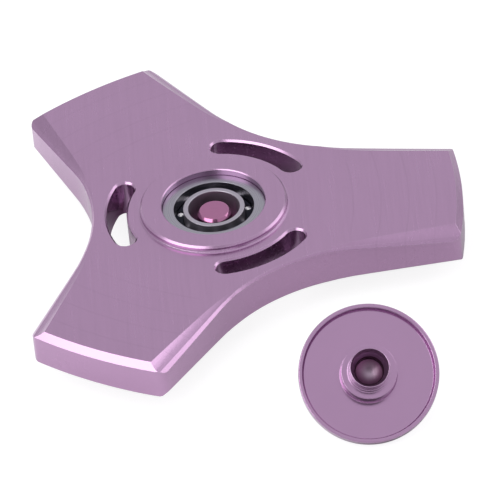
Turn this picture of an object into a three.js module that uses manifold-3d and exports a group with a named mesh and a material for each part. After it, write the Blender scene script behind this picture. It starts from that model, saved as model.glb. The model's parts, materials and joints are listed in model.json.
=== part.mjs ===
// Three-arm fidget spinner: one-piece frame, open ball bearing, a push-in button below the hub
// and a matching button that lies loose beside it. Millimetres, +Z up, table at z = 0.
import * as THREE from 'three';
import { mergeVertices } from 'three/addons/utils/BufferGeometryUtils.js';
import Module from 'manifold-3d';

const wasm = await Module();
wasm.setup();

// Bearing, quarter inch bore by half inch outside
const BEARING_BORE_RADIUS = 3.175;
const BEARING_OUTER_RADIUS = 6.35;
const BEARING_WIDTH = 4.762;
const INNER_LAND_RADIUS = 3.78;
const OUTER_LAND_RADIUS = 4.95;
const BALL_COUNT = 10;
const FIRST_BALL_ANGLE = THREE.MathUtils.degToRad(18);
const BALL_RADIUS = 0.79;
const GROOVE_RADIUS = 0.82;
const RACE_CHAMFER = 0.06;
const CAGE_FOOT_DEPTH = 1.7;
const CAGE_HORN_HEIGHT = 0.72;
const CAGE_RUNNING_GAP = 0.1;
const POCKET_GAP = 0.07;

// Frame plate
const PLATE_THICKNESS = 4.9;
const ARM_LENGTH = 30.5;
const END_CURVE_RADIUS = 55;
const END_CHAMFER = 0.78;
const SIDE_TAPER = THREE.MathUtils.degToRad(4);
const CORNER_RADIUS = 1.3;
const WAIST_DISTANCE = 15;
const WAIST_CURVE_RADIUS = 22.3;
const EDGE_CHAMFER = 0.26;
const SCOOP_START = 13.6;
const SCOOP_DEPTH = 0.86;
const SCOOP_WIDTH = 1.5;
const SCOOP_HOLLOW = 0.09;
const SCOOP_LIP = 0.22;
const SCOOP_LIP_SLOPE = 0.88;
const UNDERSIDE_SHARE = 0.5;

// Hub ring, bearing seat and slots
const HUB_RING_RADIUS = 9.03;
const HUB_RING_HEIGHT = 0.8;
const HUB_RING_CHAMFER = 0.24;
const HUB_RING_FILLET = 0.3;
const SEAT_CLEARANCE = 0.02;
const SEAT_CHAMFER = 0.12;
const SLOT_CENTRE_RADIUS = 12;
const SLOT_HALF_WIDTH = 1.24;
const SLOT_HALF_ANGLE = THREE.MathUtils.degToRad(24.4);
const SLOT_CHAMFER = 0.24;

// Buttons
const BUTTON_RADIUS = 8.35;
const BUTTON_THICKNESS = 1.7;
const BUTTON_EDGE_CHAMFER = 0.25;
const BUTTON_RIM_WIDTH = 0.47;
const BUTTON_DISH_DEPTH = 1.1;
const BUTTON_HUB_GAP = 0.5;
const COLLAR_RADIUS = 3.33;
const COLLAR_FOOT_RADIUS = 3.43;
const COLLAR_CHAMFER = 0.04;
const SPIGOT_HEIGHT = 1.2;
const SPIGOT_CLEARANCE = 0.02;
const STUD_TIP_RADIUS = 1.8;
const STUD_SHOULDER_RADIUS = 2.12;
const STUD_BASE_RADIUS = 2.3;
const STUD_TIP_DEPTH = 0.46;
const STUD_TIP_CHAMFER = 0.36;
const SLEEVE_RADIUS = 2.36;
const SLEEVE_STEP_RADIUS = 2.58;
const SLEEVE_STEP_HEIGHT = 0.25;
const SLEEVE_LENGTH = 2.56;
const SLEEVE_BORE_RADIUS = 1.62;
const SLEEVE_BORE_DEPTH = 3.6;
const DRILL_POINT_SLOPE = THREE.MathUtils.degToRad(31);
const SLEEVE_FIT_GAP = 0.03;

// Where the pieces stand
const ARM_HEADING = THREE.MathUtils.degToRad(-1.74);
const LOOSE_BUTTON_CENTRE = [16.352, -32.154, 5.337];
const LOOSE_BUTTON_TILT = [0.7188, 0.027];

const ROUND_SEGMENTS = 48;
const FINE_SEGMENTS = 72;

const hubHeight = PLATE_THICKNESS + 2 * HUB_RING_HEIGHT;
const hubBottom = BUTTON_THICKNESS + BUTTON_HUB_GAP;
const hubTop = hubBottom + hubHeight;
const middleHeight = (hubBottom + hubTop) / 2;
const raceTop = middleHeight + BEARING_WIDTH / 2;
const raceBottom = middleHeight - BEARING_WIDTH / 2;
const pitchRadius = (INNER_LAND_RADIUS + OUTER_LAND_RADIUS) / 2;
const collarHeight = raceBottom;
const studTipHeight = raceTop - STUD_TIP_DEPTH;
const spigotTop = raceBottom + SPIGOT_HEIGHT;
const halfPlate = PLATE_THICKNESS / 2;

function toSolid(geometry) {
  geometry.deleteAttribute('normal');
  geometry.deleteAttribute('uv');
  const bare = mergeVertices(geometry, 1e-5);
  return new wasm.Manifold(new wasm.Mesh({
    numProp: 3,
    vertProperties: new Float32Array(bare.attributes.position.array),
    triVerts: new Uint32Array(bare.index.array),
  }));
}

function toGeometry(solid) {
  const mesh = solid.getMesh();
  const geometry = new THREE.BufferGeometry();
  geometry.setAttribute('position', new THREE.BufferAttribute(new Float32Array(mesh.vertProperties), 3));
  geometry.setIndex(new THREE.BufferAttribute(new Uint32Array(mesh.triVerts), 1));
  const faceted = geometry.toNonIndexed();
  faceted.computeVertexNormals();
  return faceted;
}

// A turned piece: the profile is a list of [radius, height] and the turning axis is Z.
function turned(profile, segments = ROUND_SEGMENTS) {
  const points = profile.map(([radius, height]) => new THREE.Vector2(radius, height));
  return new THREE.LatheGeometry(points, segments).rotateX(Math.PI / 2);
}

function arcPoints(centreX, centreY, radius, fromAngle, toAngle, steps) {
  const points = [];
  for (let i = 0; i <= steps; i++) {
    const angle = fromAngle + (toAngle - fromAngle) * i / steps;
    points.push(new THREE.Vector2(centreX + radius * Math.cos(angle), centreY + radius * Math.sin(angle)));
  }
  return points;
}

// A solid skinned over flat outlines that all have the same number of points.
function skinned(outlines, place) {
  const count = outlines[0].length;
  const positions = [];
  outlines.forEach((outline, layer) => outline.forEach((point) => {
    positions.push(...place(point, layer).toArray());
  }));
  const faces = [];
  for (let layer = 0; layer + 1 < outlines.length; layer++) {
    for (let i = 0; i < count; i++) {
      const a = layer * count + i;
      const b = layer * count + (i + 1) % count;
      faces.push([a, b, b + count], [a, b + count, a + count]);
    }
  }
  const last = (outlines.length - 1) * count;
  const startCap = THREE.ShapeUtils.triangulateShape(outlines[0], []);
  const endCap = THREE.ShapeUtils.triangulateShape(outlines[outlines.length - 1], []);
  startCap.forEach(([a, b, c]) => faces.push([a, c, b]));
  endCap.forEach(([a, b, c]) => faces.push([last + a, last + b, last + c]));
  const corner = (index) => new THREE.Vector3().fromArray(positions, index * 3);
  const volume = faces.reduce((sum, [a, b, c]) => sum + corner(a).dot(corner(b).cross(corner(c))), 0);
  const geometry = new THREE.BufferGeometry();
  geometry.setAttribute('position', new THREE.Float32BufferAttribute(positions, 3));
  geometry.setIndex(faces.flatMap(([a, b, c]) => (volume > 0 ? [a, b, c] : [a, c, b])));
  return geometry;
}

// The arm's side: it leaves the waist arc on a tangent and tapers gently to the end corner.
const waistCentre = new THREE.Vector2(1, 0)
  .rotateAround(new THREE.Vector2(), Math.PI / 3)
  .multiplyScalar(WAIST_DISTANCE + WAIST_CURVE_RADIUS);
const sideDirection = new THREE.Vector2(Math.cos(SIDE_TAPER), -Math.sin(SIDE_TAPER));
const sideInward = new THREE.Vector2(-Math.sin(SIDE_TAPER), -Math.cos(SIDE_TAPER));
const sideStart = waistCentre.clone().addScaledVector(sideInward, WAIST_CURVE_RADIUS);
const endCentre = new THREE.Vector2(ARM_LENGTH - END_CURVE_RADIUS, 0);

function wallDistance(along) {
  if (along > sideStart.x) {
    return sideStart.y - (along - sideStart.x) * Math.tan(SIDE_TAPER);
  }
  return waistCentre.y - Math.sqrt(WAIST_CURVE_RADIUS ** 2 - (along - waistCentre.x) ** 2);
}

function cornerCentre() {
  const from = sideStart.clone().addScaledVector(sideInward, CORNER_RADIUS);
  const reach = END_CURVE_RADIUS - CORNER_RADIUS;
  const offset = from.clone().sub(endCentre);
  const half = offset.dot(sideDirection);
  const along = -half + Math.sqrt(half * half - offset.lengthSq() + reach * reach);
  return from.addScaledVector(sideDirection, along);
}

function armHalfOutline() {
  const centre = cornerCentre();
  const towardEnd = centre.clone().sub(endCentre).angle();
  const towardSide = Math.PI / 2 - SIDE_TAPER;
  const towardWaist = sideInward.angle();
  return [
    ...arcPoints(endCentre.x, endCentre.y, END_CURVE_RADIUS, 0, towardEnd, 5),
    ...arcPoints(centre.x, centre.y, CORNER_RADIUS, towardEnd, towardSide, 6).slice(1),
    ...arcPoints(waistCentre.x, waistCentre.y, WAIST_CURVE_RADIUS, towardWaist, Math.PI * 4 / 3, 11),
  ];
}

function frameOutline() {
  const half = armHalfOutline();
  const mirrored = half.slice(1, -1).reverse().map((p) => new THREE.Vector2(p.x, -p.y));
  const arm = [...mirrored, ...half];
  const outline = [];
  for (let i = 0; i < 3; i++) {
    arm.forEach((p) => outline.push(p.clone().rotateAround(new THREE.Vector2(), i * Math.PI * 2 / 3)));
  }
  return outline;
}

function platePrism() {
  return new THREE.ExtrudeGeometry(new THREE.Shape(frameOutline()), {
    depth: PLATE_THICKNESS - 2 * EDGE_CHAMFER,
    bevelThickness: EDGE_CHAMFER,
    bevelSize: EDGE_CHAMFER,
    bevelOffset: -EDGE_CHAMFER,
    bevelSegments: 1,
    steps: 1,
  }).translate(0, 0, EDGE_CHAMFER - halfPlate);
}

// A wide disc whose cone-shaped rims cut the chamfers on one arm's end, the lower one smaller.
function endTrimmer() {
  const over = 1;
  const underChamfer = END_CHAMFER * UNDERSIDE_SHARE;
  const outer = END_CURVE_RADIUS + over;
  return turned([
    [0, -halfPlate - over],
    [END_CURVE_RADIUS - underChamfer - over, -halfPlate - over],
    [outer, -halfPlate + underChamfer + over],
    [outer, halfPlate - END_CHAMFER - over],
    [END_CURVE_RADIUS - END_CHAMFER - over, halfPlate + over],
    [0, halfPlate + over],
  ], 360).translate(endCentre.x, 0, 0);
}

// The long hollow facet on an arm's side, with the narrow chamfer that runs below it.
// It is shallower on the underside, where face is -1.
function scoopCutter(side, face) {
  const share = face > 0 ? 1 : UNDERSIDE_SHARE;
  const end = ARM_LENGTH + 2;
  const stations = 9;
  const outlines = [];
  const distances = [];
  for (let i = 0; i <= stations; i++) {
    const along = SCOOP_START + (end - SCOOP_START) * (i / stations) ** 1.3;
    const growth = Math.max((along - SCOOP_START) / (ARM_LENGTH - SCOOP_START), 0.01);
    const depth = SCOOP_DEPTH * share * growth ** 0.85;
    const width = SCOOP_WIDTH * Math.sqrt(growth);
    const crease = wallDistance(along) - EDGE_CHAMFER - SCOOP_LIP * growth;
    const outline = [];
    for (let step = 0; step <= 3; step++) {
      const across = step / 3;
      const hollow = SCOOP_HOLLOW * share * growth * 4 * across * (1 - across);
      outline.push(new THREE.Vector2(crease - width * (1 - across), halfPlate - depth * across - hollow));
    }
    outline.push(new THREE.Vector2(crease + 2, halfPlate - depth - 2 * SCOOP_LIP_SLOPE));
    outline.push(new THREE.Vector2(crease + 2, halfPlate + 1));
    outline.push(new THREE.Vector2(crease - width - 0.3, halfPlate + 1));
    outlines.push(outline);
    distances.push(along);
  }
  return skinned(outlines, (p, layer) => new THREE.Vector3(distances[layer], side * p.x, face * p.y));
}

function slotOutline(growth) {
  const halfWidth = SLOT_HALF_WIDTH + growth;
  const outer = arcPoints(0, 0, SLOT_CENTRE_RADIUS + halfWidth, -SLOT_HALF_ANGLE, SLOT_HALF_ANGLE, 12);
  const inner = arcPoints(0, 0, SLOT_CENTRE_RADIUS - halfWidth, SLOT_HALF_ANGLE, -SLOT_HALF_ANGLE, 12);
  const cap = (angle, turn) => arcPoints(
    SLOT_CENTRE_RADIUS * Math.cos(angle), SLOT_CENTRE_RADIUS * Math.sin(angle),
    halfWidth, angle + turn, angle + turn + Math.PI, 8).slice(1, -1);
  return [...outer, ...cap(SLOT_HALF_ANGLE, 0), ...inner, ...cap(-SLOT_HALF_ANGLE, Math.PI)];
}

function slotCutter() {
  const over = 0.5;
  const layers = [
    [-halfPlate - over, SLOT_CHAMFER + over], [-halfPlate + SLOT_CHAMFER, 0],
    [halfPlate - SLOT_CHAMFER, 0], [halfPlate + over, SLOT_CHAMFER + over],
  ];
  return skinned(
    layers.map(([, growth]) => slotOutline(growth)),
    (p, layer) => new THREE.Vector3(p.x, p.y, layers[layer][0]));
}

function hubSolid() {
  const top = hubHeight / 2;
  const side = [];
  side.push([HUB_RING_RADIUS - HUB_RING_CHAMFER, top], [HUB_RING_RADIUS, top - HUB_RING_CHAMFER]);
  for (let i = 0; i <= 2; i++) {
    const angle = i / 2 * Math.PI / 2;
    side.push([
      HUB_RING_RADIUS + HUB_RING_FILLET * (1 - Math.cos(angle)),
      halfPlate + HUB_RING_FILLET * (1 - Math.sin(angle)),
    ]);
  }
  side.push([HUB_RING_RADIUS + HUB_RING_FILLET, halfPlate - 0.3]);
  const under = side.map(([radius, height]) => [radius, -height]);
  return turned([[0, -top], ...under, ...side.reverse(), [0, top]], FINE_SEGMENTS);
}

function seatCutter() {
  const radius = BEARING_OUTER_RADIUS + SEAT_CLEARANCE;
  const top = hubHeight / 2;
  const flare = 0.5;
  return turned([
    [0, -top - flare], [radius + SEAT_CHAMFER + flare, -top - flare], [radius, -top + SEAT_CHAMFER],
    [radius, top - SEAT_CHAMFER], [radius + SEAT_CHAMFER + flare, top + flare], [0, top + flare],
  ], FINE_SEGMENTS);
}

function frameGeometry() {
  let frame = toSolid(platePrism());
  const trimmer = endTrimmer();
  const slot = slotCutter();
  for (let i = 0; i < 3; i++) {
    const turn = i * Math.PI * 2 / 3;
    frame = frame.intersect(toSolid(trimmer.clone().rotateZ(turn)));
    for (const side of [-1, 1]) {
      for (const face of [-1, 1]) {
        frame = frame.subtract(toSolid(scoopCutter(side, face).rotateZ(turn)));
      }
    }
    frame = frame.subtract(toSolid(slot.clone().rotateZ(turn + Math.PI / 3)));
  }
  frame = frame.add(toSolid(hubSolid())).subtract(toSolid(seatCutter()));
  return toGeometry(frame);
}

// Groove half of a race section, from bottom to top; facing is -1 for the inner race.
function groovePoints(landRadius, facing) {
  const reach = (landRadius - pitchRadius) * facing;
  const limit = Math.acos(reach / GROOVE_RADIUS);
  const points = [];
  for (let i = 0; i <= 6; i++) {
    const angle = -limit + 2 * limit * i / 6;
    points.push([pitchRadius + facing * GROOVE_RADIUS * Math.cos(angle), GROOVE_RADIUS * Math.sin(angle)]);
  }
  return points;
}

function outerRace() {
  const half = BEARING_WIDTH / 2;
  const c = RACE_CHAMFER;
  const outside = BEARING_OUTER_RADIUS;
  const land = OUTER_LAND_RADIUS;
  return turned([
    [land, -half], [outside - c, -half], [outside, -half + c], [outside, half - c], [outside - c, half],
    [land, half], ...groovePoints(land, 1).reverse(), [land, -half],
  ]);
}

function innerRace() {
  const half = BEARING_WIDTH / 2;
  const c = RACE_CHAMFER;
  const bore = BEARING_BORE_RADIUS;
  const land = INNER_LAND_RADIUS;
  return turned([
    [bore + c, -half], [land, -half], ...groovePoints(land, -1), [land, half], [bore + c, half],
    [bore, half - c], [bore, -half + c], [bore + c, -half],
  ]);
}

function ballPosition(index) {
  const angle = FIRST_BALL_ANGLE + index * Math.PI * 2 / BALL_COUNT;
  return new THREE.Vector3(pitchRadius * Math.cos(angle), pitchRadius * Math.sin(angle), 0);
}

// Crown cage: a ring below the balls with horns that stand up between them, open above each ball.
function cageGeometry() {
  const inside = INNER_LAND_RADIUS + CAGE_RUNNING_GAP;
  const outside = OUTER_LAND_RADIUS - CAGE_RUNNING_GAP;
  let cage = toSolid(turned([
    [inside, -CAGE_FOOT_DEPTH], [outside, -CAGE_FOOT_DEPTH],
    [outside, CAGE_HORN_HEIGHT], [inside, CAGE_HORN_HEIGHT], [inside, -CAGE_FOOT_DEPTH],
  ]));
  const pocket = new THREE.SphereGeometry(BALL_RADIUS + POCKET_GAP, 12, 8).rotateX(Math.PI / 2);
  for (let i = 0; i < BALL_COUNT; i++) {
    cage = cage.subtract(toSolid(pocket.clone().translate(...ballPosition(i).toArray())));
  }
  return toGeometry(cage);
}

// Rim, dish and collar shared by both buttons, from the centre of the outer face outwards.
function buttonDishProfile() {
  const dish = BUTTON_THICKNESS - BUTTON_DISH_DEPTH;
  const c = BUTTON_EDGE_CHAMFER;
  const fine = 0.08;
  const rimInside = BUTTON_RADIUS - BUTTON_RIM_WIDTH;
  return [
    [0, 0], [BUTTON_RADIUS - c, 0], [BUTTON_RADIUS, c], [BUTTON_RADIUS, BUTTON_THICKNESS - fine],
    [BUTTON_RADIUS - fine, BUTTON_THICKNESS], [rimInside, BUTTON_THICKNESS],
    [rimInside - 0.03, dish + 0.2], [rimInside - 0.2, dish],
    [COLLAR_FOOT_RADIUS, dish], [COLLAR_RADIUS, dish + 0.22],
    [COLLAR_RADIUS, collarHeight - COLLAR_CHAMFER], [COLLAR_RADIUS - COLLAR_CHAMFER, collarHeight],
  ];
}

function lowerButton() {
  const spigot = BEARING_BORE_RADIUS - SPIGOT_CLEARANCE;
  return turned([
    ...buttonDishProfile(),
    [spigot, collarHeight], [spigot, spigotTop - 0.15], [spigot - 0.15, spigotTop],
    [STUD_BASE_RADIUS, spigotTop], [STUD_SHOULDER_RADIUS, studTipHeight - STUD_TIP_CHAMFER],
    [STUD_TIP_RADIUS, studTipHeight], [0, studTipHeight],
  ]);
}

// The stud's radius this far below the bearing's face, which the sleeve's tapered mouth matches.
function studRadius(depth) {
  const shoulderDepth = STUD_TIP_DEPTH + STUD_TIP_CHAMFER;
  const run = (depth - shoulderDepth) / (BEARING_WIDTH - SPIGOT_HEIGHT - shoulderDepth);
  return STUD_SHOULDER_RADIUS + (STUD_BASE_RADIUS - STUD_SHOULDER_RADIUS) * run;
}

function upperButton() {
  const mouth = collarHeight + SLEEVE_LENGTH;
  const shoulder = collarHeight + STUD_TIP_DEPTH + STUD_TIP_CHAMFER;
  const boreStart = shoulder - STUD_TIP_CHAMFER * 2;
  const boreEnd = mouth - SLEEVE_BORE_DEPTH;
  return turned([
    ...buttonDishProfile(),
    [SLEEVE_STEP_RADIUS, collarHeight], [SLEEVE_STEP_RADIUS, collarHeight + SLEEVE_STEP_HEIGHT],
    [SLEEVE_RADIUS, collarHeight + SLEEVE_STEP_HEIGHT],
    [SLEEVE_RADIUS, mouth - 0.06], [SLEEVE_RADIUS - 0.06, mouth],
    [studRadius(SLEEVE_LENGTH) + SLEEVE_FIT_GAP, mouth],
    [STUD_SHOULDER_RADIUS + SLEEVE_FIT_GAP, shoulder],
    [SLEEVE_BORE_RADIUS, boreStart], [SLEEVE_BORE_RADIUS, boreEnd],
    [0, boreEnd - SLEEVE_BORE_RADIUS * Math.tan(DRILL_POINT_SLOPE)],
  ]);
}

function finish(color, metalness, roughness) {
  return new THREE.MeshStandardMaterial({ color, metalness, roughness });
}

const spinner = new THREE.Group();
spinner.name = 'fidget_spinner';

function addPiece(name, geometry, material) {
  const piece = new THREE.Mesh(geometry, material);
  piece.name = name;
  spinner.add(piece);
  return piece;
}

const frame = addPiece('spinner_frame', frameGeometry(), finish(0xb98fb5, 0.85, 0.35));
frame.position.z = middleHeight;
frame.rotation.z = ARM_HEADING;
addPiece('bearing_outer_race', outerRace(), finish(0xa9aeb2, 1, 0.25)).position.z = middleHeight;
addPiece('bearing_inner_race', innerRace(), finish(0xb4b8bb, 1, 0.22)).position.z = middleHeight;
addPiece('bearing_cage', cageGeometry(), finish(0x17181a, 0, 0.5)).position.z = middleHeight;
for (let i = 0; i < BALL_COUNT; i++) {
  const ball = new THREE.SphereGeometry(BALL_RADIUS, 12, 8).rotateX(Math.PI / 2);
  const piece = addPiece(`bearing_ball_${i + 1}`, ball, finish(0xc9ccd0, 1, 0.12));
  piece.position.copy(ballPosition(i)).setZ(middleHeight);
}
addPiece('lower_button', lowerButton(), finish(0xb37fa6, 0.85, 0.32));
const loose = addPiece('upper_button', upperButton(), finish(0xa678a6, 0.85, 0.34));
loose.rotation.set(LOOSE_BUTTON_TILT[0], LOOSE_BUTTON_TILT[1], 0);
loose.position.set(...LOOSE_BUTTON_CENTRE);

export default spinner;
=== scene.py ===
import json
import math

import bmesh
import bpy
from bpy.props import FloatProperty, FloatVectorProperty, IntProperty, PointerProperty
from mathutils import Matrix, Vector


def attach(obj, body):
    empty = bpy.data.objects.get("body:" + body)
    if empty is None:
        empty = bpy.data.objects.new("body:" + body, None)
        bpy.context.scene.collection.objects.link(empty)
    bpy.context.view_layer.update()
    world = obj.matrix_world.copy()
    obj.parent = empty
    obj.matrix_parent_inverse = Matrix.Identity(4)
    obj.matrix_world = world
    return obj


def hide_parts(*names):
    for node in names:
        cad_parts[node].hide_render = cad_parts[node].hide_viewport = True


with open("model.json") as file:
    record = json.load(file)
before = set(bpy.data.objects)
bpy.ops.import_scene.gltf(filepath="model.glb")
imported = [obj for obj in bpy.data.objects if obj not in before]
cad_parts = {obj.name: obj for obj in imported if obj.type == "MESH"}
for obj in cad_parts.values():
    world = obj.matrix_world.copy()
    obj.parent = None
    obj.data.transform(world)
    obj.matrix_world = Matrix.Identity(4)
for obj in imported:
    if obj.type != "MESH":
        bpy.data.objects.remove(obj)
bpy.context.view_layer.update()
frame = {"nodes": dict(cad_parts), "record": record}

bl_info = {
    "name": "Three-arm fidget spinner",
    "version": (1, 0, 0),
    "blender": (4, 5, 0),
    "location": "3D View > Sidebar > Spinner",
    "description": "Gives a machined three-arm spinner its anodised, steel and plastic finishes",
    "category": "Object",
}

NODES = frame["nodes"]
RECORD = frame["record"]
MM = 0.001

# The bearing's middle height, its balls, and the turn of the first arm, as the CAD frame has them.
MIDDLE_HEIGHT = 5.45 * MM
BALL_COUNT = 10
FIRST_BALL_ANGLE = math.radians(18)
ARM_HEADING = math.radians(-1.74)

# The steepest turn between two faces that are still shaded as one, on the plate and on turned pieces.
SOFT_LIMIT = {"flat": math.radians(5), "wall": math.radians(25), "slope": math.radians(17.5)}
TURNED_SOFT_LIMIT = math.radians(6.5)
FLAT_RISE = 0.9999      # a flat face's normal stands at least this upright
WALL_RISE = 0.02        # and a wall's normal at most this much

# The hoop that a section is swept along, the joins to close, and how finely shapes are turned.
HOOP_RADIUS = 1 * MM
SEAM_GAP = 0.0005 * MM
DOUBLED_POINT_GAP = 0.0003 * MM
CAGE_SEGMENTS = 128
POCKET_SEGMENTS = 64
GROOVE_STEPS = 16
CORNER_STEPS = 3

# Finishes: the bare metal that shows at rubbed edges, the clear oxide coat, and how rough each
# ground surface is. The milling arcs are a fainter and darker shade of the plate's colour.
PINK_BARE = (0.80, 0.66, 0.80)
STUD_BARE = (0.82, 0.62, 0.74)
RACE_BARE = (0.75, 0.75, 0.78)
BALL_BARE = (0.8, 0.8, 0.8)
OXIDE_COAT = 0.4
COAT_ROUGHNESS = 0.12
RELIEF_DEPTH = 0.02 * MM
OUTER_RACE_ROUGHNESS = 0.28
INNER_RACE_ROUGHNESS = 0.45
BALL_ROUGHNESS = 0.08
ARC_STRENGTH = 0.1
ARC_SHADE = 0.5

# The loose button's bore: radius, bottom and top. The tool leaves it rougher than the rest, and its
# lower part is painted dark as shade in the blind bore, given as shares of the bore's radius and top.
LOOSE_BORE = (2.3 * MM, 0.9 * MM, 5.6 * MM)
BORE_ROUGHNESS = 0.2
BORE_PAINTED_SHADE = (0.15, 0.07, 0.12)
SHADE_RADIUS_SHARE = 0.76
SHADE_TOP_SHARE = 0.6

# Paper floor: what is seen of it, and the tone that it throws back, painted paler on the left as light from
# the key side.
FLOOR_HALF_SIZE = 3.0
PAPER_GLOW = 0.85
PAPER_SHADE = 0.25
PAPER_LIGHT_FALLOFF = (0.98, 0.7)
PAPER_FADE = 0.03

# Direction and half angle in degrees of the two soft lights, which stand at one distance in metres.
LIGHT_DISTANCE = 0.5
KEY_LIGHT = ((-0.60, -0.42, 0.68), 25)
SIDE_LIGHT = ((0.82, 0.25, 0.52), 20)

# White tent: a patch's direction, half angles of its core and of its faded edge in degrees, and
# its brightness. The opening's brightness is the stage's front gap.
TENT_COLOUR = (0.99, 0.99, 1.04)
FRONT_OPENING = ((0, -0.785, 0.62), 8, 16)
TENT_PATCHES = (
    ((0.60, 0.38, 0.70), 10, 24, 1.12),
    ((-0.63, 0.45, 0.63), 12, 30, 0.6),
    ((-0.03, -0.14, 0.99), 8, 24, 0.9),
    ((0.62, 0.785, 0.02), 6, 18, 0.5),
    ((-0.04, -0.67, 0.74), 4, 9, 0.4),
)

# Camera: its place, its own right and up directions, and a long lens on a 36 mm sensor.
CAMERA_PLACE = (0.00387743, -0.56807747, 0.44931994)
CAMERA_RIGHT = (0.99495604, -0.06218077, -0.07871468)
CAMERA_UP = (0.10031176, 0.61674855, 0.78074242)
LENS_LENGTH = 422.82
SENSOR_WIDTH = 36.0

# Small corners of the buttons: the rim's lip, its foot in the dish, and the stem's mouth and spigot.
LIP_CHAMFER = 0.08 * MM
RIM_DRAFT = 0.03 * MM
DISH_CORNER = 0.2 * MM
COLLAR_FOOT_HEIGHT = 0.22 * MM
COLLAR_CHAMFER = 0.04 * MM
MOUTH_CHAMFER = 0.06 * MM
SPIGOT_CHAMFER = 0.15 * MM
DRILL_POINT_SLOPE = math.radians(31)


def mount(name):
    """The record's own line on one mount: its place and the way that it faces."""
    return next(m for m in RECORD["mounts"] if m["name"] == name)


LOOSE_PAD = mount("loose_button_pad")


# ---------------------------------------------------------------- settings

def size_setting(name, description, size):
    """A length that can be changed in the panel; size is in millimetres."""
    return FloatProperty(
        name=name, description=description, subtype="DISTANCE", unit="LENGTH", min=0, default=size * MM)


class FinishSettings(bpy.types.PropertyGroup):
    frame_colour: FloatVectorProperty(
        name="Frame colour", description="Dyed oxide colour of the plate",
        subtype="COLOR", size=3, min=0, max=1, default=(0.462, 0.283, 0.447))
    # The loose button's pink dye, painted a little lighter than the plate's as light for the dimmer tent its
    # tilted face reflects.
    button_lit_colour: FloatVectorProperty(
        name="Loose button colour", description="Dyed oxide colour of the loose button",
        subtype="COLOR", size=3, min=0, max=1, default=(0.485, 0.295, 0.47))
    # The seated button's pink dye, painted darker and redder as shade and steel reflection in the bore round
    # the stud.
    stud_shaded_colour: FloatVectorProperty(
        name="Seated button colour", description="Dyed oxide colour of the seated button",
        subtype="COLOR", size=3, min=0, max=1, default=(0.43, 0.165, 0.31))
    # The outer race's steel is painted darker than ground steel, as painted shade for the recess walls it
    # reflects.
    steel_shaded_colour: FloatVectorProperty(
        name="Race colour", description="Ground bearing steel",
        subtype="COLOR", size=3, min=0, max=1, default=(0.37, 0.355, 0.40))
    inner_colour: FloatVectorProperty(
        name="Inner race colour", description="Honed steel of the inner race",
        subtype="COLOR", size=3, min=0, max=1, default=(0.45, 0.42, 0.47))
    ball_colour: FloatVectorProperty(
        name="Ball colour", description="Polished bearing steel",
        subtype="COLOR", size=3, min=0, max=1, default=(0.72, 0.71, 0.70))
    cage_colour: FloatVectorProperty(
        name="Cage colour", description="Black moulded cage",
        subtype="COLOR", size=3, min=0, max=1, default=(0.016, 0.017, 0.028))
    frame_roughness: FloatProperty(
        name="Frame roughness", description="Sheen of the brushed and dyed plate",
        subtype="FACTOR", min=0, max=1, default=0.26)
    button_roughness: FloatProperty(
        name="Button roughness", description="Sheen of the turned buttons",
        subtype="FACTOR", min=0, max=1, default=0.16)
    edge_radius: size_setting("Edge softness", "Rounding that tumbling leaves on every edge", 0.06)


class TurnedSettings(bpy.types.PropertyGroup):
    segments: IntProperty(
        name="Turning segments", description="Facets round a turned piece", default=192, min=24, max=360)
    corner: size_setting("Corner radius", "Rounding on the corners of a turned piece", 0.05)


class BearingSettings(bpy.types.PropertyGroup):
    bore_radius: size_setting("Bore radius", "Radius of the hole through the bearing", 3.175)
    outer_radius: size_setting("Outer radius", "Radius of the bearing", 6.35)
    width: size_setting("Width", "Height of the races", 4.762)
    chamfer: size_setting("Race chamfer", "Chamfer on each race's fitted side", 0.06)
    inner_land: size_setting("Inner land radius", "Outside of the inner race", 3.78)
    outer_land: size_setting("Outer land radius", "Inside of the outer race", 4.95)
    groove_radius: size_setting("Groove radius", "Radius of the ball grooves", 0.82)
    ball_radius: size_setting("Ball radius", "Radius of one bearing ball", 0.79)
    ball_segments: IntProperty(
        name="Ball segments", description="Facets round a ball", default=64, min=8, max=96)
    cage_gap: size_setting("Cage gap", "Running gap between the cage and each race", 0.1)
    pocket_gap: size_setting("Pocket gap", "Play between a ball and its pocket", 0.07)
    cage_foot: size_setting("Cage foot", "How far the cage reaches below the balls' centres", 1.7)
    cage_horn: size_setting("Cage horns", "How far the horns stand above the balls' centres", 0.72)


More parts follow.
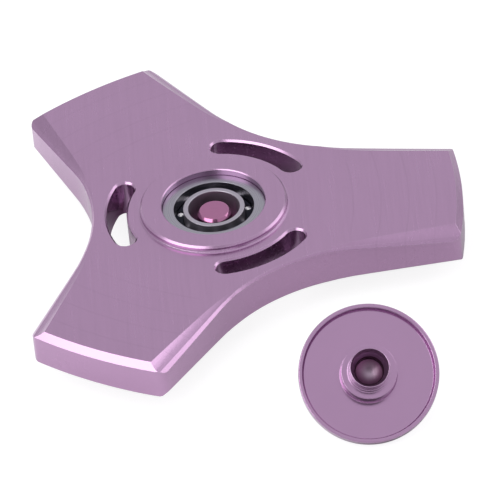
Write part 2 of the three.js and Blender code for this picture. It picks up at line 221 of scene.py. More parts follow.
class ButtonSettings(bpy.types.PropertyGroup):
    radius: size_setting("Button radius", "Radius of each finger button", 8.35)
    thickness: size_setting("Thickness", "Height of the button's rim", 1.7)
    chamfer: size_setting("Face chamfer", "Chamfer round the button's outer face", 0.25)
    rim_width: size_setting("Rim width", "Width of the raised rim", 0.47)
    dish_depth: size_setting("Dish depth", "How far the dish lies below the rim", 1.1)
    collar_foot: size_setting("Collar foot radius", "Radius where the collar meets the dish", 3.43)
    collar_radius: size_setting("Collar radius", "Radius of the collar that meets the inner race", 3.33)
    spigot_radius: size_setting("Spigot radius", "Radius of the seated button's spigot", 3.155)
    spigot_height: size_setting("Spigot height", "How far the spigot enters the bearing", 1.2)
    stud_base: size_setting("Stud base radius", "Radius of the stud at the spigot", 2.3)
    stud_shoulder: size_setting("Stud shoulder radius", "Radius of the stud below its chamfer", 2.12)
    stud_tip: size_setting("Stud tip radius", "Radius of the stud's flat tip", 1.8)
    stud_chamfer: size_setting("Stud chamfer", "Height of the chamfer at the stud's tip", 0.36)
    stud_depth: size_setting("Stud depth", "How far the tip lies below the bearing's upper face", 0.46)
    step_radius: size_setting("Sleeve step radius", "Radius of the step at the sleeve's foot", 2.58)
    step_height: size_setting("Sleeve step height", "Height of the step at the sleeve's foot", 0.25)
    sleeve_radius: size_setting("Sleeve radius", "Outside of the loose button's sleeve", 2.36)
    sleeve_length: size_setting("Sleeve length", "How far the sleeve stands above the collar", 2.56)
    bore_radius: size_setting("Sleeve bore radius", "Radius of the drilled bore", 1.62)
    bore_depth: size_setting("Sleeve bore depth", "Depth of the bore to its drill point", 3.6)
    fit_gap: size_setting("Fit gap", "Gap between the sleeve's mouth and the stud", 0.03)


class StageSettings(bpy.types.PropertyGroup):
    key_strength: FloatProperty(
        name="Key light", description="Brightness of the large soft light on the left",
        default=2.35, min=0)
    side_strength: FloatProperty(
        name="Side light", description="Brightness of the soft light on the right", default=1.2, min=0)
    tent: FloatProperty(
        name="Tent", description="Even light from the white tent round the object", default=0.78, min=0)
    gap: FloatProperty(
        name="Front gap", description="Light left in the tent's opening at the front",
        default=0.12, min=0)


# ---------------------------------------------------------------- node helpers

def new_group(name, inputs, outputs):
    group = bpy.data.node_groups.new(name, "ShaderNodeTree")
    for label, kind, value in inputs:
        socket = group.interface.new_socket(label, in_out="INPUT", socket_type=kind)
        if value is not None:
            socket.default_value = value
    for label, kind in outputs:
        group.interface.new_socket(label, in_out="OUTPUT", socket_type=kind)
    entry = group.nodes.new("NodeGroupInput")
    leave = group.nodes.new("NodeGroupOutput")
    return group, entry, leave


def node(tree, kind, **settings):
    made = tree.nodes.new(kind)
    for key, value in settings.items():
        setattr(made, key, value)
    return made


def link(tree, start, end):
    tree.links.new(start, end)


def feed(tree, value, socket):
    """Sets a plain number on a socket, or links another node's socket to it."""
    if isinstance(value, (int, float)):
        socket.default_value = value
    else:
        link(tree, value, socket)


def maths(tree, operation, first, second):
    made = node(tree, "ShaderNodeMath", operation=operation)
    for socket, value in zip(made.inputs, (first, second)):
        feed(tree, value, socket)
    return made.outputs[0]


def split_axes(tree, vector):
    split = node(tree, "ShaderNodeSeparateXYZ")
    link(tree, vector, split.inputs[0])
    return split.outputs


def joined_axes(tree, *parts):
    join = node(tree, "ShaderNodeCombineXYZ")
    for socket, value in zip(join.inputs, parts):
        feed(tree, value, socket)
    return join.outputs[0]


def length_of(tree, vector):
    length = node(tree, "ShaderNodeVectorMath", operation="LENGTH")
    link(tree, vector, length.inputs[0])
    return length.outputs["Value"]


def noise(tree, place, scale, detail, roughness=0.5):
    made = node(tree, "ShaderNodeTexNoise", noise_dimensions="3D")
    made.inputs["Detail"].default_value = detail
    made.inputs["Roughness"].default_value = roughness
    link(tree, place, made.inputs["Vector"])
    feed(tree, scale, made.inputs["Scale"])
    return made.outputs["Fac"]


def solid_colour(colour):
    return (*colour, 1.0)


def tinted(tree, surface, mask, colour):
    """The surface's colour, turned into the given one as far as the mask says."""
    mix = node(tree, "ShaderNodeMix", data_type="RGBA")
    link(tree, mask, mix.inputs["Factor"])
    link(tree, surface, mix.inputs["A"])
    mix.inputs["B"].default_value = solid_colour(colour)
    return mix.outputs["Result"]


def relief(tree, shader, height, strength):
    """Fine relief on the shader's normal; returns the bump node."""
    bump = node(tree, "ShaderNodeBump")
    bump.inputs["Strength"].default_value = strength
    bump.inputs["Distance"].default_value = RELIEF_DEPTH
    link(tree, height, bump.inputs["Height"])
    link(tree, bump.outputs[0], shader.inputs["Normal"])
    return bump


def spread_marks(group, entry, leave, lines, cloud, cloud_share):
    """Lets tool lines and a broad cloud shift the colour and the sheen; the lines are the height too."""
    swing = maths(group, "SUBTRACT", lines, 0.5)
    patch = maths(group, "MULTIPLY", maths(group, "SUBTRACT", cloud, 0.5), cloud_share)
    both = maths(group, "ADD", swing, patch)
    bright = maths(group, "ADD", maths(group, "MULTIPLY", both, entry.outputs["Contrast"]), 1.0)
    shade = node(group, "ShaderNodeVectorMath", operation="SCALE")
    link(group, entry.outputs["Colour"], shade.inputs[0])
    link(group, bright, shade.inputs["Scale"])
    link(group, shade.outputs[0], leave.inputs["Colour"])
    shift = maths(group, "MULTIPLY", both, entry.outputs["Sheen Shift"])
    link(group, maths(group, "ADD", shift, entry.outputs["Roughness"]), leave.inputs["Roughness"])
    link(group, lines, leave.inputs["Height"])


def grain_group():
    """Fine lines along one axis: long, thin noise that shifts colour, sheen and height."""
    group, entry, leave = new_group(
        "Straight Grain",
        [("Vector", "NodeSocketVector", None), ("Lines", "NodeSocketFloat", 9000.0),
         ("Stretch", "NodeSocketFloat", 0.03), ("Colour", "NodeSocketColor", (1, 1, 1, 1)),
         ("Contrast", "NodeSocketFloat", 0.05), ("Roughness", "NodeSocketFloat", 0.3),
         ("Sheen Shift", "NodeSocketFloat", 0.06)],
        [("Colour", "NodeSocketColor"), ("Roughness", "NodeSocketFloat"), ("Height", "NodeSocketFloat")])
    along, across, up = split_axes(group, entry.outputs["Vector"])
    drawn_out = joined_axes(group, along, maths(group, "MULTIPLY", across, entry.outputs["Stretch"]), up)
    lines = noise(group, drawn_out, entry.outputs["Lines"], 4.0, 0.7)
    cloud = noise(group, entry.outputs["Vector"], 120.0, 3.0)
    spread_marks(group, entry, leave, lines, cloud, 0.4)
    return group


def turned_group():
    """Rings left by a lathe tool, from the distance to the turning axis."""
    group, entry, leave = new_group(
        "Turned Rings",
        [("Vector", "NodeSocketVector", None), ("Rings", "NodeSocketFloat", 14000.0),
         ("Colour", "NodeSocketColor", (1, 1, 1, 1)), ("Contrast", "NodeSocketFloat", 0.06),
         ("Roughness", "NodeSocketFloat", 0.3), ("Sheen Shift", "NodeSocketFloat", 0.08)],
        [("Colour", "NodeSocketColor"), ("Roughness", "NodeSocketFloat"), ("Height", "NodeSocketFloat")])
    x, y, z = split_axes(group, entry.outputs["Vector"])
    radius = length_of(group, joined_axes(group, x, y))
    ring = joined_axes(group, radius, maths(group, "MULTIPLY", z, 0.7))
    lines = noise(group, ring, entry.outputs["Rings"], 3.0, 0.65)
    cloud = noise(group, entry.outputs["Vector"], 260.0, 2.0)
    spread_marks(group, entry, leave, lines, cloud, 0.5)
    return group


def edge_group():
    """Lightens the dye where an edge has been rubbed."""
    group, entry, leave = new_group(
        "Edge Wear",
        [("Colour", "NodeSocketColor", (1, 1, 1, 1)), ("Bare", "NodeSocketColor", (0.8, 0.72, 0.8, 1)),
         ("Radius", "NodeSocketFloat", 0.0001), ("Amount", "NodeSocketFloat", 0.5)],
        [("Colour", "NodeSocketColor"), ("Normal", "NodeSocketVector"), ("Mask", "NodeSocketFloat")])
    soft = node(group, "ShaderNodeBevel", samples=4)
    link(group, entry.outputs["Radius"], soft.inputs["Radius"])
    true = node(group, "ShaderNodeNewGeometry")
    dot = node(group, "ShaderNodeVectorMath", operation="DOT_PRODUCT")
    link(group, soft.outputs[0], dot.inputs[0])
    link(group, true.outputs["True Normal"], dot.inputs[1])
    turned_away = maths(group, "SUBTRACT", 1.0, dot.outputs["Value"])
    mask = node(group, "ShaderNodeMapRange")
    mask.inputs["From Max"].default_value = 0.12
    link(group, turned_away, mask.inputs["Value"])
    rubbed = maths(group, "MULTIPLY", mask.outputs[0], entry.outputs["Amount"])
    mix = node(group, "ShaderNodeMix", data_type="RGBA")
    link(group, rubbed, mix.inputs["Factor"])
    link(group, entry.outputs["Colour"], mix.inputs["A"])
    link(group, entry.outputs["Bare"], mix.inputs["B"])
    link(group, mix.outputs["Result"], leave.inputs["Colour"])
    link(group, soft.outputs[0], leave.inputs["Normal"])
    link(group, rubbed, leave.inputs["Mask"])
    return group


def arc_group():
    """Faint arcs that the milling cutter leaves across each arm, parallel to its end."""
    group, entry, leave = new_group(
        "Mill Arcs",
        [("Vector", "NodeSocketVector", None), ("Heading", "NodeSocketFloat", 0.0),
         ("Centre Distance", "NodeSocketFloat", 0.0245), ("First Arc", "NodeSocketFloat", 0.0484),
         ("Arc Step", "NodeSocketFloat", 0.0034), ("Width", "NodeSocketFloat", 0.00016),
         ("Start", "NodeSocketFloat", 0.0165)],
        [("Mask", "NodeSocketFloat")])
    x, y, _ = split_axes(group, entry.outputs["Vector"])
    turned = maths(group, "SUBTRACT", maths(group, "ARCTAN2", y, x), entry.outputs["Heading"])
    third = node(group, "ShaderNodeMath", operation="WRAP")
    link(group, turned, third.inputs[0])
    third.inputs[1].default_value = math.pi / 3
    third.inputs[2].default_value = -math.pi / 3
    reach = length_of(group, joined_axes(group, x, y))
    along = maths(group, "MULTIPLY", reach, maths(group, "COSINE", third.outputs[0], 0))
    across = maths(group, "MULTIPLY", reach, maths(group, "SINE", third.outputs[0], 0))
    from_centre = joined_axes(group, maths(group, "ADD", along, entry.outputs["Centre Distance"]), across)
    offset = maths(group, "SUBTRACT", length_of(group, from_centre), entry.outputs["First Arc"])
    near = node(group, "ShaderNodeMath", operation="PINGPONG")
    link(group, offset, near.inputs[0])
    link(group, maths(group, "MULTIPLY", entry.outputs["Arc Step"], 0.5), near.inputs[1])
    line = maths(group, "DIVIDE", near.outputs[0], entry.outputs["Width"])
    mask = node(group, "ShaderNodeMath", operation="SUBTRACT", use_clamp=True)
    mask.inputs[0].default_value = 1.0
    link(group, line, mask.inputs[1])
    outward = maths(group, "GREATER_THAN", along, entry.outputs["Start"])
    link(group, maths(group, "MULTIPLY", mask.outputs[0], outward), leave.inputs["Mask"])
    return group


def group_named(name, maker):
    return bpy.data.node_groups.get(name) or maker()


def place_group(tree, name, maker, **values):
    made = node(tree, "ShaderNodeGroup", node_tree=group_named(name, maker))
    for key, value in values.items():
        made.inputs[key.replace("_", " ")].default_value = value
    return made


def new_material(name):
    material = bpy.data.materials.new(name)
    material.use_nodes = True
    return material, material.node_tree, material.node_tree.nodes["Principled BSDF"]


def metal_material(name, colour, roughness, grain, bare, wear, radius, bump=0.05,
                   centre=None, axis=None, coat=0.0, arcs=None, bore=None, **values):
    """Dyed or ground metal with tool lines, a softened edge and rubbed corners; in a blind bore, painted
    shade.
    """
    material, tree, shader = new_material(name)
    shader.inputs["Metallic"].default_value = 1.0
    shader.inputs["Coat Weight"].default_value = coat
    shader.inputs["Coat Roughness"].default_value = COAT_ROUGHNESS
    place = node(tree, "ShaderNodeTexCoord")
    mapping = node(tree, "ShaderNodeMapping", vector_type="TEXTURE")
    if centre is not None:
        mapping.inputs["Location"].default_value = centre
    if axis is not None:
        mapping.inputs["Rotation"].default_value = turn_onto(axis)
    link(tree, place.outputs["Object"], mapping.inputs["Vector"])
    spot = mapping.outputs[0]
    label, maker = GRAINS[grain]
    lines = place_group(tree, label, maker, Colour=solid_colour(colour), Roughness=roughness, **values)
    link(tree, spot, lines.inputs["Vector"])
    surface, sheen = lines.outputs["Colour"], lines.outputs["Roughness"]
    if arcs is not None:
        marks = place_group(tree, "Mill Arcs", arc_group, Heading=arcs)
        link(tree, spot, marks.inputs["Vector"])
        faint = maths(tree, "MULTIPLY", marks.outputs["Mask"], ARC_STRENGTH)
        surface = tinted(tree, surface, faint, [part * ARC_SHADE for part in colour])
    if bore is not None:
        bore_radius, bottom, top = bore
        # Painted shade: the lower part of the bore is tinted dark, as if shadowed, not dyed darker.
        painted_bore_shade = bore_mask(tree, spot, bore_radius * SHADE_RADIUS_SHARE, bottom, top * SHADE_TOP_SHARE)
        surface = tinted(tree, surface, painted_bore_shade, BORE_PAINTED_SHADE)
        inside = bore_mask(tree, spot, bore_radius, bottom, top)
        sheen = maths(tree, "ADD", sheen, maths(tree, "MULTIPLY", inside, BORE_ROUGHNESS))
    edge = place_group(tree, "Edge Wear", edge_group, Bare=solid_colour(bare), Radius=radius, Amount=wear)
    link(tree, surface, edge.inputs["Colour"])
    link(tree, edge.outputs["Colour"], shader.inputs["Base Color"])
    link(tree, sheen, shader.inputs["Roughness"])
    grooves = relief(tree, shader, lines.outputs["Height"], bump)
    link(tree, edge.outputs["Normal"], grooves.inputs["Normal"])
    return material


def bore_mask(tree, place, radius, bottom, top):
    """One inside a blind bore on the Z axis, and nought elsewhere."""
    x, y, z = split_axes(tree, place)
    inside = maths(tree, "LESS_THAN", length_of(tree, joined_axes(tree, x, y)), radius)
    below = maths(tree, "LESS_THAN", z, top)
    above = maths(tree, "GREATER_THAN", z, bottom)
    return maths(tree, "MULTIPLY", inside, maths(tree, "MULTIPLY", below, above))


def plastic_material(name, colour):
    """Moulded black plastic: a fine matt skin with faint scuffs."""
    material, tree, shader = new_material(name)
    place = node(tree, "ShaderNodeTexCoord")
    skin = noise(tree, place.outputs["Object"], 5000.0, 3.0)
    tint = node(tree, "ShaderNodeMix", data_type="RGBA")
    tint.inputs["A"].default_value = solid_colour([part * 0.7 for part in colour])
    tint.inputs["B"].default_value = solid_colour([part * 1.4 for part in colour])
    link(tree, skin, tint.inputs["Factor"])
    link(tree, tint.outputs["Result"], shader.inputs["Base Color"])
    sheen = node(tree, "ShaderNodeMapRange")
    sheen.inputs["To Min"].default_value = 0.38
    sheen.inputs["To Max"].default_value = 0.58
    link(tree, skin, sheen.inputs["Value"])
    link(tree, sheen.outputs[0], shader.inputs["Roughness"])
    shader.inputs["Specular IOR Level"].default_value = 0.12
    relief(tree, shader, skin, 0.1)
    return material


GRAINS = {"straight": ("Straight Grain", grain_group), "turned": ("Turned Rings", turned_group)}


# ---------------------------------------------------------------- shapes

def turn_onto(axis):
    return Vector((0, 0, 1)).rotation_difference(axis).to_euler()


def new_tree(name, inputs):
    """An empty geometry tree whose first input and only output are the geometry."""
    tree = bpy.data.node_groups.new(name, "GeometryNodeTree")
    tree.interface.new_socket("Geometry", in_out="INPUT", socket_type="NodeSocketGeometry")
    tree.interface.new_socket("Geometry", in_out="OUTPUT", socket_type="NodeSocketGeometry")
    keys = {}
    for label, kind in inputs:
        keys[label] = tree.interface.new_socket(label, in_out="INPUT", socket_type=kind).identifier
    return tree, keys, node(tree, "NodeGroupInput"), node(tree, "NodeGroupOutput")


def swept_round(tree, profile, segments):
    """Sweeps the profile round the Z axis."""
    hoop = node(tree, "GeometryNodeCurvePrimitiveCircle")
    hoop.inputs["Radius"].default_value = HOOP_RADIUS
    link(tree, segments, hoop.inputs["Resolution"])
    sweep = node(tree, "GeometryNodeCurveToMesh")
    link(tree, hoop.outputs["Curve"], sweep.inputs["Curve"])
    link(tree, profile, sweep.inputs["Profile Curve"])
    joined = node(tree, "GeometryNodeMergeByDistance")
    joined.inputs["Distance"].default_value = SEAM_GAP
    link(tree, sweep.outputs[0], joined.inputs["Geometry"])
    return joined.outputs[0]


def ending(tree, shape, material, leave):
    real = node(tree, "GeometryNodeRealizeInstances")
    link(tree, shape, real.inputs[0])
    paint = node(tree, "GeometryNodeSetMaterial")
    paint.inputs["Material"].default_value = material
    link(tree, real.outputs[0], paint.inputs["Geometry"])
    link(tree, paint.outputs[0], leave.inputs[0])


def turned_tree(material):
    """A half section with softened corners, turned round an axis and set in its place."""
    tree, keys, entry, leave = new_tree(
        "Turned Piece",
        [("Segments", "NodeSocketInt"), ("Corner Radius", "NodeSocketFloat"),
         ("Place", "NodeSocketVector"), ("Turn", "NodeSocketVector")])
    line = node(tree, "GeometryNodeMeshToCurve")
    link(tree, entry.outputs["Geometry"], line.inputs["Mesh"])
    soft = node(tree, "GeometryNodeFilletCurve", mode="POLY")
    soft.inputs["Count"].default_value = CORNER_STEPS
    soft.inputs["Limit Radius"].default_value = True
    link(tree, entry.outputs["Corner Radius"], soft.inputs["Radius"])
    link(tree, line.outputs[0], soft.inputs["Curve"])
    body = swept_round(tree, soft.outputs[0], entry.outputs["Segments"])
    turn = node(tree, "FunctionNodeEulerToRotation")
    link(tree, entry.outputs["Turn"], turn.inputs[0])
    put = node(tree, "GeometryNodeTransform")
    link(tree, body, put.inputs["Geometry"])
    link(tree, entry.outputs["Place"], put.inputs["Translation"])
    link(tree, turn.outputs[0], put.inputs["Rotation"])
    ending(tree, put.outputs[0], material, leave)
    return tree, keys


def ball_tree(material):
    """A smooth ball at a given place."""
    tree, keys, entry, leave = new_tree(
        "Bearing Ball",
        [("Ball Radius", "NodeSocketFloat"), ("Segments", "NodeSocketInt"), ("Centre", "NodeSocketVector")])
    point = node(tree, "GeometryNodePoints")
    point.inputs["Count"].default_value = 1
    link(tree, entry.outputs["Centre"], point.inputs["Position"])
    sphere = node(tree, "GeometryNodeMeshUVSphere")
    link(tree, entry.outputs["Ball Radius"], sphere.inputs["Radius"])
    link(tree, entry.outputs["Segments"], sphere.inputs["Segments"])
    link(tree, maths(tree, "MULTIPLY", entry.outputs["Segments"], 0.5), sphere.inputs["Rings"])
    spread = node(tree, "GeometryNodeInstanceOnPoints")
    link(tree, point.outputs[0], spread.inputs["Points"])
    link(tree, sphere.outputs["Mesh"], spread.inputs["Instance"])
    ending(tree, spread.outputs[0], material, leave)
    return tree, keys


def cage_tree(material):
    """A turned band with a round pocket cut for every ball, open at the top."""
    tree, keys, entry, leave = new_tree(
        "Crown Cage",
        [("Segments", "NodeSocketInt"), ("Ball Count", "NodeSocketInt"), ("Pitch Radius", "NodeSocketFloat"),
         ("Pocket Radius", "NodeSocketFloat"), ("First Angle", "NodeSocketFloat"),
         ("Height", "NodeSocketFloat")])
    line = node(tree, "GeometryNodeMeshToCurve")
    link(tree, entry.outputs["Geometry"], line.inputs["Mesh"])
    band = swept_round(tree, line.outputs[0], entry.outputs["Segments"])
    ring = node(tree, "GeometryNodeMeshCircle")
    link(tree, entry.outputs["Ball Count"], ring.inputs["Vertices"])
    link(tree, entry.outputs["Pitch Radius"], ring.inputs["Radius"])
    pocket = node(tree, "GeometryNodeMeshUVSphere")
    pocket.inputs["Segments"].default_value = POCKET_SEGMENTS
    pocket.inputs["Rings"].default_value = POCKET_SEGMENTS // 2
    link(tree, entry.outputs["Pocket Radius"], pocket.inputs["Radius"])
    spread = node(tree, "GeometryNodeInstanceOnPoints")
    link(tree, ring.outputs[0], spread.inputs["Points"])
    link(tree, pocket.outputs["Mesh"], spread.inputs["Instance"])
    real = node(tree, "GeometryNodeRealizeInstances")
    link(tree, spread.outputs[0], real.inputs[0])
    turn = node(tree, "FunctionNodeEulerToRotation")
    link(tree, joined_axes(tree, 0, 0, entry.outputs["First Angle"]), turn.inputs[0])
    pockets = node(tree, "GeometryNodeTransform")
    link(tree, real.outputs[0], pockets.inputs["Geometry"])
    link(tree, turn.outputs[0], pockets.inputs["Rotation"])
    cut = node(tree, "GeometryNodeMeshBoolean", operation="DIFFERENCE", solver="EXACT")
    link(tree, band, cut.inputs["Mesh 1"])
    link(tree, pockets.outputs[0], cut.inputs["Mesh 2"])
    put = node(tree, "GeometryNodeTransform")
    link(tree, cut.outputs["Mesh"], put.inputs["Geometry"])
    link(tree, joined_axes(tree, 0, 0, entry.outputs["Height"]), put.inputs["Translation"])
    ending(tree, put.outputs[0], material, leave)
    return tree, keys


def half_section(points, closed):
    """The seed that a sweep starts from: a section drawn beside the hoop it is swept along."""
    mesh = bpy.data.meshes.new("half_section")
    edges = [(i, i + 1) for i in range(len(points) - 1)]
    if closed:
        edges.append((len(points) - 1, 0))
    mesh.from_pydata([(radius - HOOP_RADIUS, -height, 0) for radius, height in points], edges, [])
    return mesh


def grown(name, tree, inputs, seed=None):
    """Runs a geometry tree once and keeps its result as a plain mesh."""
    start = seed or bpy.data.meshes.new(name + "_seed")
    made = bpy.data.objects.new(name, start)
    bpy.context.collection.objects.link(made)
    modifier = made.modifiers.new("Grow", "NODES")
    modifier.node_group = tree
    for identifier, value in inputs.items():
        modifier[identifier] = value
    bpy.context.view_layer.update()
    evaluated = made.evaluated_get(bpy.context.evaluated_depsgraph_get())
    mesh = bpy.data.meshes.new_from_object(evaluated)
    made.modifiers.remove(modifier)
    made.data = mesh
    mesh.name = name
    smooth(mesh, turned_edge)
    if len(mesh.polygons) == 0:
        raise RuntimeError(f"{name} came out empty")
    return made


def smooth(mesh, sharp_edge):
    """Joins doubled points, turns every face outward and shades soft except at real edges."""
    work = bmesh.new()
    work.from_mesh(mesh)
    bmesh.ops.remove_doubles(work, verts=work.verts, dist=DOUBLED_POINT_GAP)
    bmesh.ops.recalc_face_normals(work, faces=work.faces)
    for face in work.faces:
        face.smooth = True
    for edge in work.edges:
        edge.smooth = len(edge.link_faces) != 2 or not sharp_edge(edge)
    work.to_mesh(mesh)
    work.free()


def turned_edge(edge):
    """A turned corner; only the small steps round the axis are shaded as one."""
    return edge.calc_face_angle(0) > TURNED_SOFT_LIMIT


def plate_edge(edge):
    """Flats, upright walls and slopes meet in crisp edges; each is soft along its own curve."""
    kinds = {surface_kind(face.normal) for face in edge.link_faces}
    if len(kinds) > 1:
        return True
    return edge.calc_face_angle(0) > SOFT_LIMIT[kinds.pop()]


def surface_kind(normal):
    if abs(normal.z) > FLAT_RISE:
        return "flat"
    return "wall" if abs(normal.z) < WALL_RISE else "slope"


def merged_copy(node_name, material):
    """A joined copy of a CAD node, so that its curved walls can be shaded soft."""
    mesh = NODES[node_name].data.copy()
    mesh.name = node_name + "_surface"
    mesh.materials.clear()
    mesh.materials.append(material)
    if mesh.attributes.get("custom_normal"):
        mesh.attributes.remove(mesh.attributes["custom_normal"])
    smooth(mesh, plate_edge)
    made = bpy.data.objects.new(mesh.name, mesh)
    bpy.context.collection.objects.link(made)
    return made


def stand_in(piece, node_name, body):
    """Puts a finished piece in the place of its CAD node, on the same body."""
    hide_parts(node_name)
    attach(piece, body)


# ---------------------------------------------------------------- operators

class SPINNER_OT_plate(bpy.types.Operator):
    """Give the three-arm plate its dyed and brushed finish"""
    bl_idname = "spinner.plate"
    bl_label = "Plate"

    def execute(self, context):
        finish = context.scene.spinner_finish
        material = metal_material(
            "plate_anodised", finish.frame_colour, finish.frame_roughness, "straight",
            bare=PINK_BARE, wear=0.5, radius=finish.edge_radius, coat=OXIDE_COAT,
            arcs=ARM_HEADING, Contrast=0.16, Lines=2600.0, Sheen_Shift=0.08)
        stand_in(merged_copy("spinner_frame", material), "spinner_frame", "spinner")
        return {"FINISHED"}


def outer_race_section(bearing):
    """Half section of the outer race, about the bearing's middle height."""
    half, c = bearing.width / 2, bearing.chamfer
    land, outside = bearing.outer_land, bearing.outer_radius
    return [(land, -half), (outside - c, -half), (outside, -half + c), (outside, half - c),
            (outside - c, half), (land, half), *reversed(groove(bearing, land, 1))]


def inner_race_section(bearing):
    """Half section of the inner race, about the bearing's middle height."""
    half, c = bearing.width / 2, bearing.chamfer
    bore, land = bearing.bore_radius, bearing.inner_land
    return [(bore + c, -half), (land, -half), *groove(bearing, land, -1), (land, half),
            (bore + c, half), (bore, half - c), (bore, -half + c)]


def pitch_radius(bearing):
    """Distance of a ball's centre from the axis, midway between the lands."""
    return (bearing.inner_land + bearing.outer_land) / 2


def groove(bearing, land, facing):
    """The ball groove in a race, from bottom to top; facing is -1 on the inner race."""
    pitch, radius = pitch_radius(bearing), bearing.groove_radius
    limit = math.acos((land - pitch) * facing / radius)
    angles = [-limit + 2 * limit * i / GROOVE_STEPS for i in range(GROOVE_STEPS + 1)]
    return [(pitch + facing * radius * math.cos(a), radius * math.sin(a)) for a in angles]


class SPINNER_OT_races(bpy.types.Operator):
    """Turn the two bearing races"""
    bl_idname = "spinner.races"
    bl_label = "Bearing races"

    def execute(self, context):
        finish = context.scene.spinner_finish
        bearing = context.scene.spinner_bearing
        turned = context.scene.spinner_turned
        for name, section, body, colour, roughness in (
                # The outer race's colour carries painted shade.
                ("bearing_outer_race", outer_race_section(bearing), "spinner",
                 finish.steel_shaded_colour, OUTER_RACE_ROUGHNESS),
                ("bearing_inner_race", inner_race_section(bearing), "axle",
                 finish.inner_colour, INNER_RACE_ROUGHNESS)):
            steel = metal_material(
                name + "_steel", colour, roughness, "turned", bare=RACE_BARE, wear=0.4,
                radius=finish.edge_radius, Rings=9000.0, Contrast=0.2)
            tree, keys = turned_tree(steel)
            made = grown(name + "_ground", tree, {
                keys["Segments"]: turned.segments, keys["Corner Radius"]: turned.corner,
                keys["Place"]: Vector((0, 0, MIDDLE_HEIGHT))}, half_section(section, True))
            stand_in(made, name, body)
        return {"FINISHED"}


class SPINNER_OT_cage(bpy.types.Operator):
    """Make the crown cage that keeps the balls apart"""
    bl_idname = "spinner.cage"
    bl_label = "Bearing cage"

    def execute(self, context):
        bearing = context.scene.spinner_bearing
        plastic = plastic_material("cage_moulded", context.scene.spinner_finish.cage_colour)
        inside = bearing.inner_land + bearing.cage_gap
        outside = bearing.outer_land - bearing.cage_gap
        section = [(inside, -bearing.cage_foot), (outside, -bearing.cage_foot),
                   (outside, bearing.cage_horn), (inside, bearing.cage_horn)]
        tree, keys = cage_tree(plastic)
        made = grown("bearing_cage_moulded", tree, {
            keys["Segments"]: CAGE_SEGMENTS, keys["Ball Count"]: BALL_COUNT,
            keys["Pitch Radius"]: pitch_radius(bearing),
            keys["Pocket Radius"]: bearing.ball_radius + bearing.pocket_gap,
            keys["First Angle"]: FIRST_BALL_ANGLE, keys["Height"]: MIDDLE_HEIGHT},
            half_section(section, True))
        stand_in(made, "bearing_cage", "cage")
        return {"FINISHED"}


class SPINNER_OT_balls(bpy.types.Operator):
    """Make one smooth ball for each ball body"""
    bl_idname = "spinner.balls"
    bl_label = "Bearing balls"

    def execute(self, context):
        finish = context.scene.spinner_finish
        bearing = context.scene.spinner_bearing
        steel = metal_material(
            "ball_polished_steel", finish.ball_colour, BALL_ROUGHNESS, "straight",
            bare=BALL_BARE, wear=0.0, radius=finish.edge_radius, bump=0.02,
            Lines=4000.0, Stretch=1.0, Contrast=0.06, Sheen_Shift=0.05)
        tree, keys = ball_tree(steel)
        pitch = pitch_radius(bearing)
        for i in range(BALL_COUNT):
            angle = FIRST_BALL_ANGLE + 2 * math.pi * i / BALL_COUNT
            made = grown(f"bearing_ball_{i + 1}_polished", tree, {
                keys["Ball Radius"]: bearing.ball_radius, keys["Segments"]: bearing.ball_segments,
                keys["Centre"]: Vector((pitch * math.cos(angle), pitch * math.sin(angle), MIDDLE_HEIGHT))})
            stand_in(made, f"bearing_ball_{i + 1}", f"ball_{i + 1}")
        return {"FINISHED"}


def dish_section(button, collar_top):
    """Rim, dish and collar that both buttons have, from the centre of the outer face outwards."""
    radius, top, c = button.radius, button.thickness, button.chamfer
    dish = top - button.dish_depth
    rim = radius - button.rim_width
    return [(0, 0), (radius - c, 0), (radius, c), (radius, top - LIP_CHAMFER), (radius - LIP_CHAMFER, top),
            (rim, top), (rim - RIM_DRAFT, dish + DISH_CORNER), (rim - DISH_CORNER, dish),
            (button.collar_foot, dish), (button.collar_radius, dish + COLLAR_FOOT_HEIGHT),
            (button.collar_radius, collar_top - COLLAR_CHAMFER),
            (button.collar_radius - COLLAR_CHAMFER, collar_top)]


def seated_stem(button, bearing, collar_top):
    """The spigot in the inner race's bore and the stud above it."""
    spigot, top = button.spigot_radius, collar_top + button.spigot_height
    tip = collar_top + bearing.width - button.stud_depth
    return [(spigot, collar_top), (spigot, top - SPIGOT_CHAMFER), (spigot - SPIGOT_CHAMFER, top),
            (button.stud_base, top), (button.stud_shoulder, tip - button.stud_chamfer),
            (button.stud_tip, tip), (0, tip)]


def mouth_radius(button, bearing):
    """Radius of the sleeve's tapered mouth, which follows the stud as far down as the sleeve reaches."""
    shoulder = button.stud_depth + button.stud_chamfer
    run = (button.sleeve_length - shoulder) / (bearing.width - button.spigot_height - shoulder)
    return button.stud_shoulder + (button.stud_base - button.stud_shoulder) * run + button.fit_gap


def loose_stem(button, bearing, collar_top):
    """The stepped sleeve with its tapered mouth and drilled bore."""
    mouth = collar_top + button.sleeve_length
    step = collar_top + button.step_height
    shoulder = collar_top + button.stud_depth + button.stud_chamfer
    bore_end = mouth - button.bore_depth
    return [(button.step_radius, collar_top), (button.step_radius, step), (button.sleeve_radius, step),
            (button.sleeve_radius, mouth - MOUTH_CHAMFER), (button.sleeve_radius - MOUTH_CHAMFER, mouth),
            (mouth_radius(button, bearing), mouth), (button.stud_shoulder + button.fit_gap, shoulder),
            (button.bore_radius, shoulder - 2 * button.stud_chamfer), (button.bore_radius, bore_end),
            (0, bore_end - button.bore_radius * math.tan(DRILL_POINT_SLOPE))]


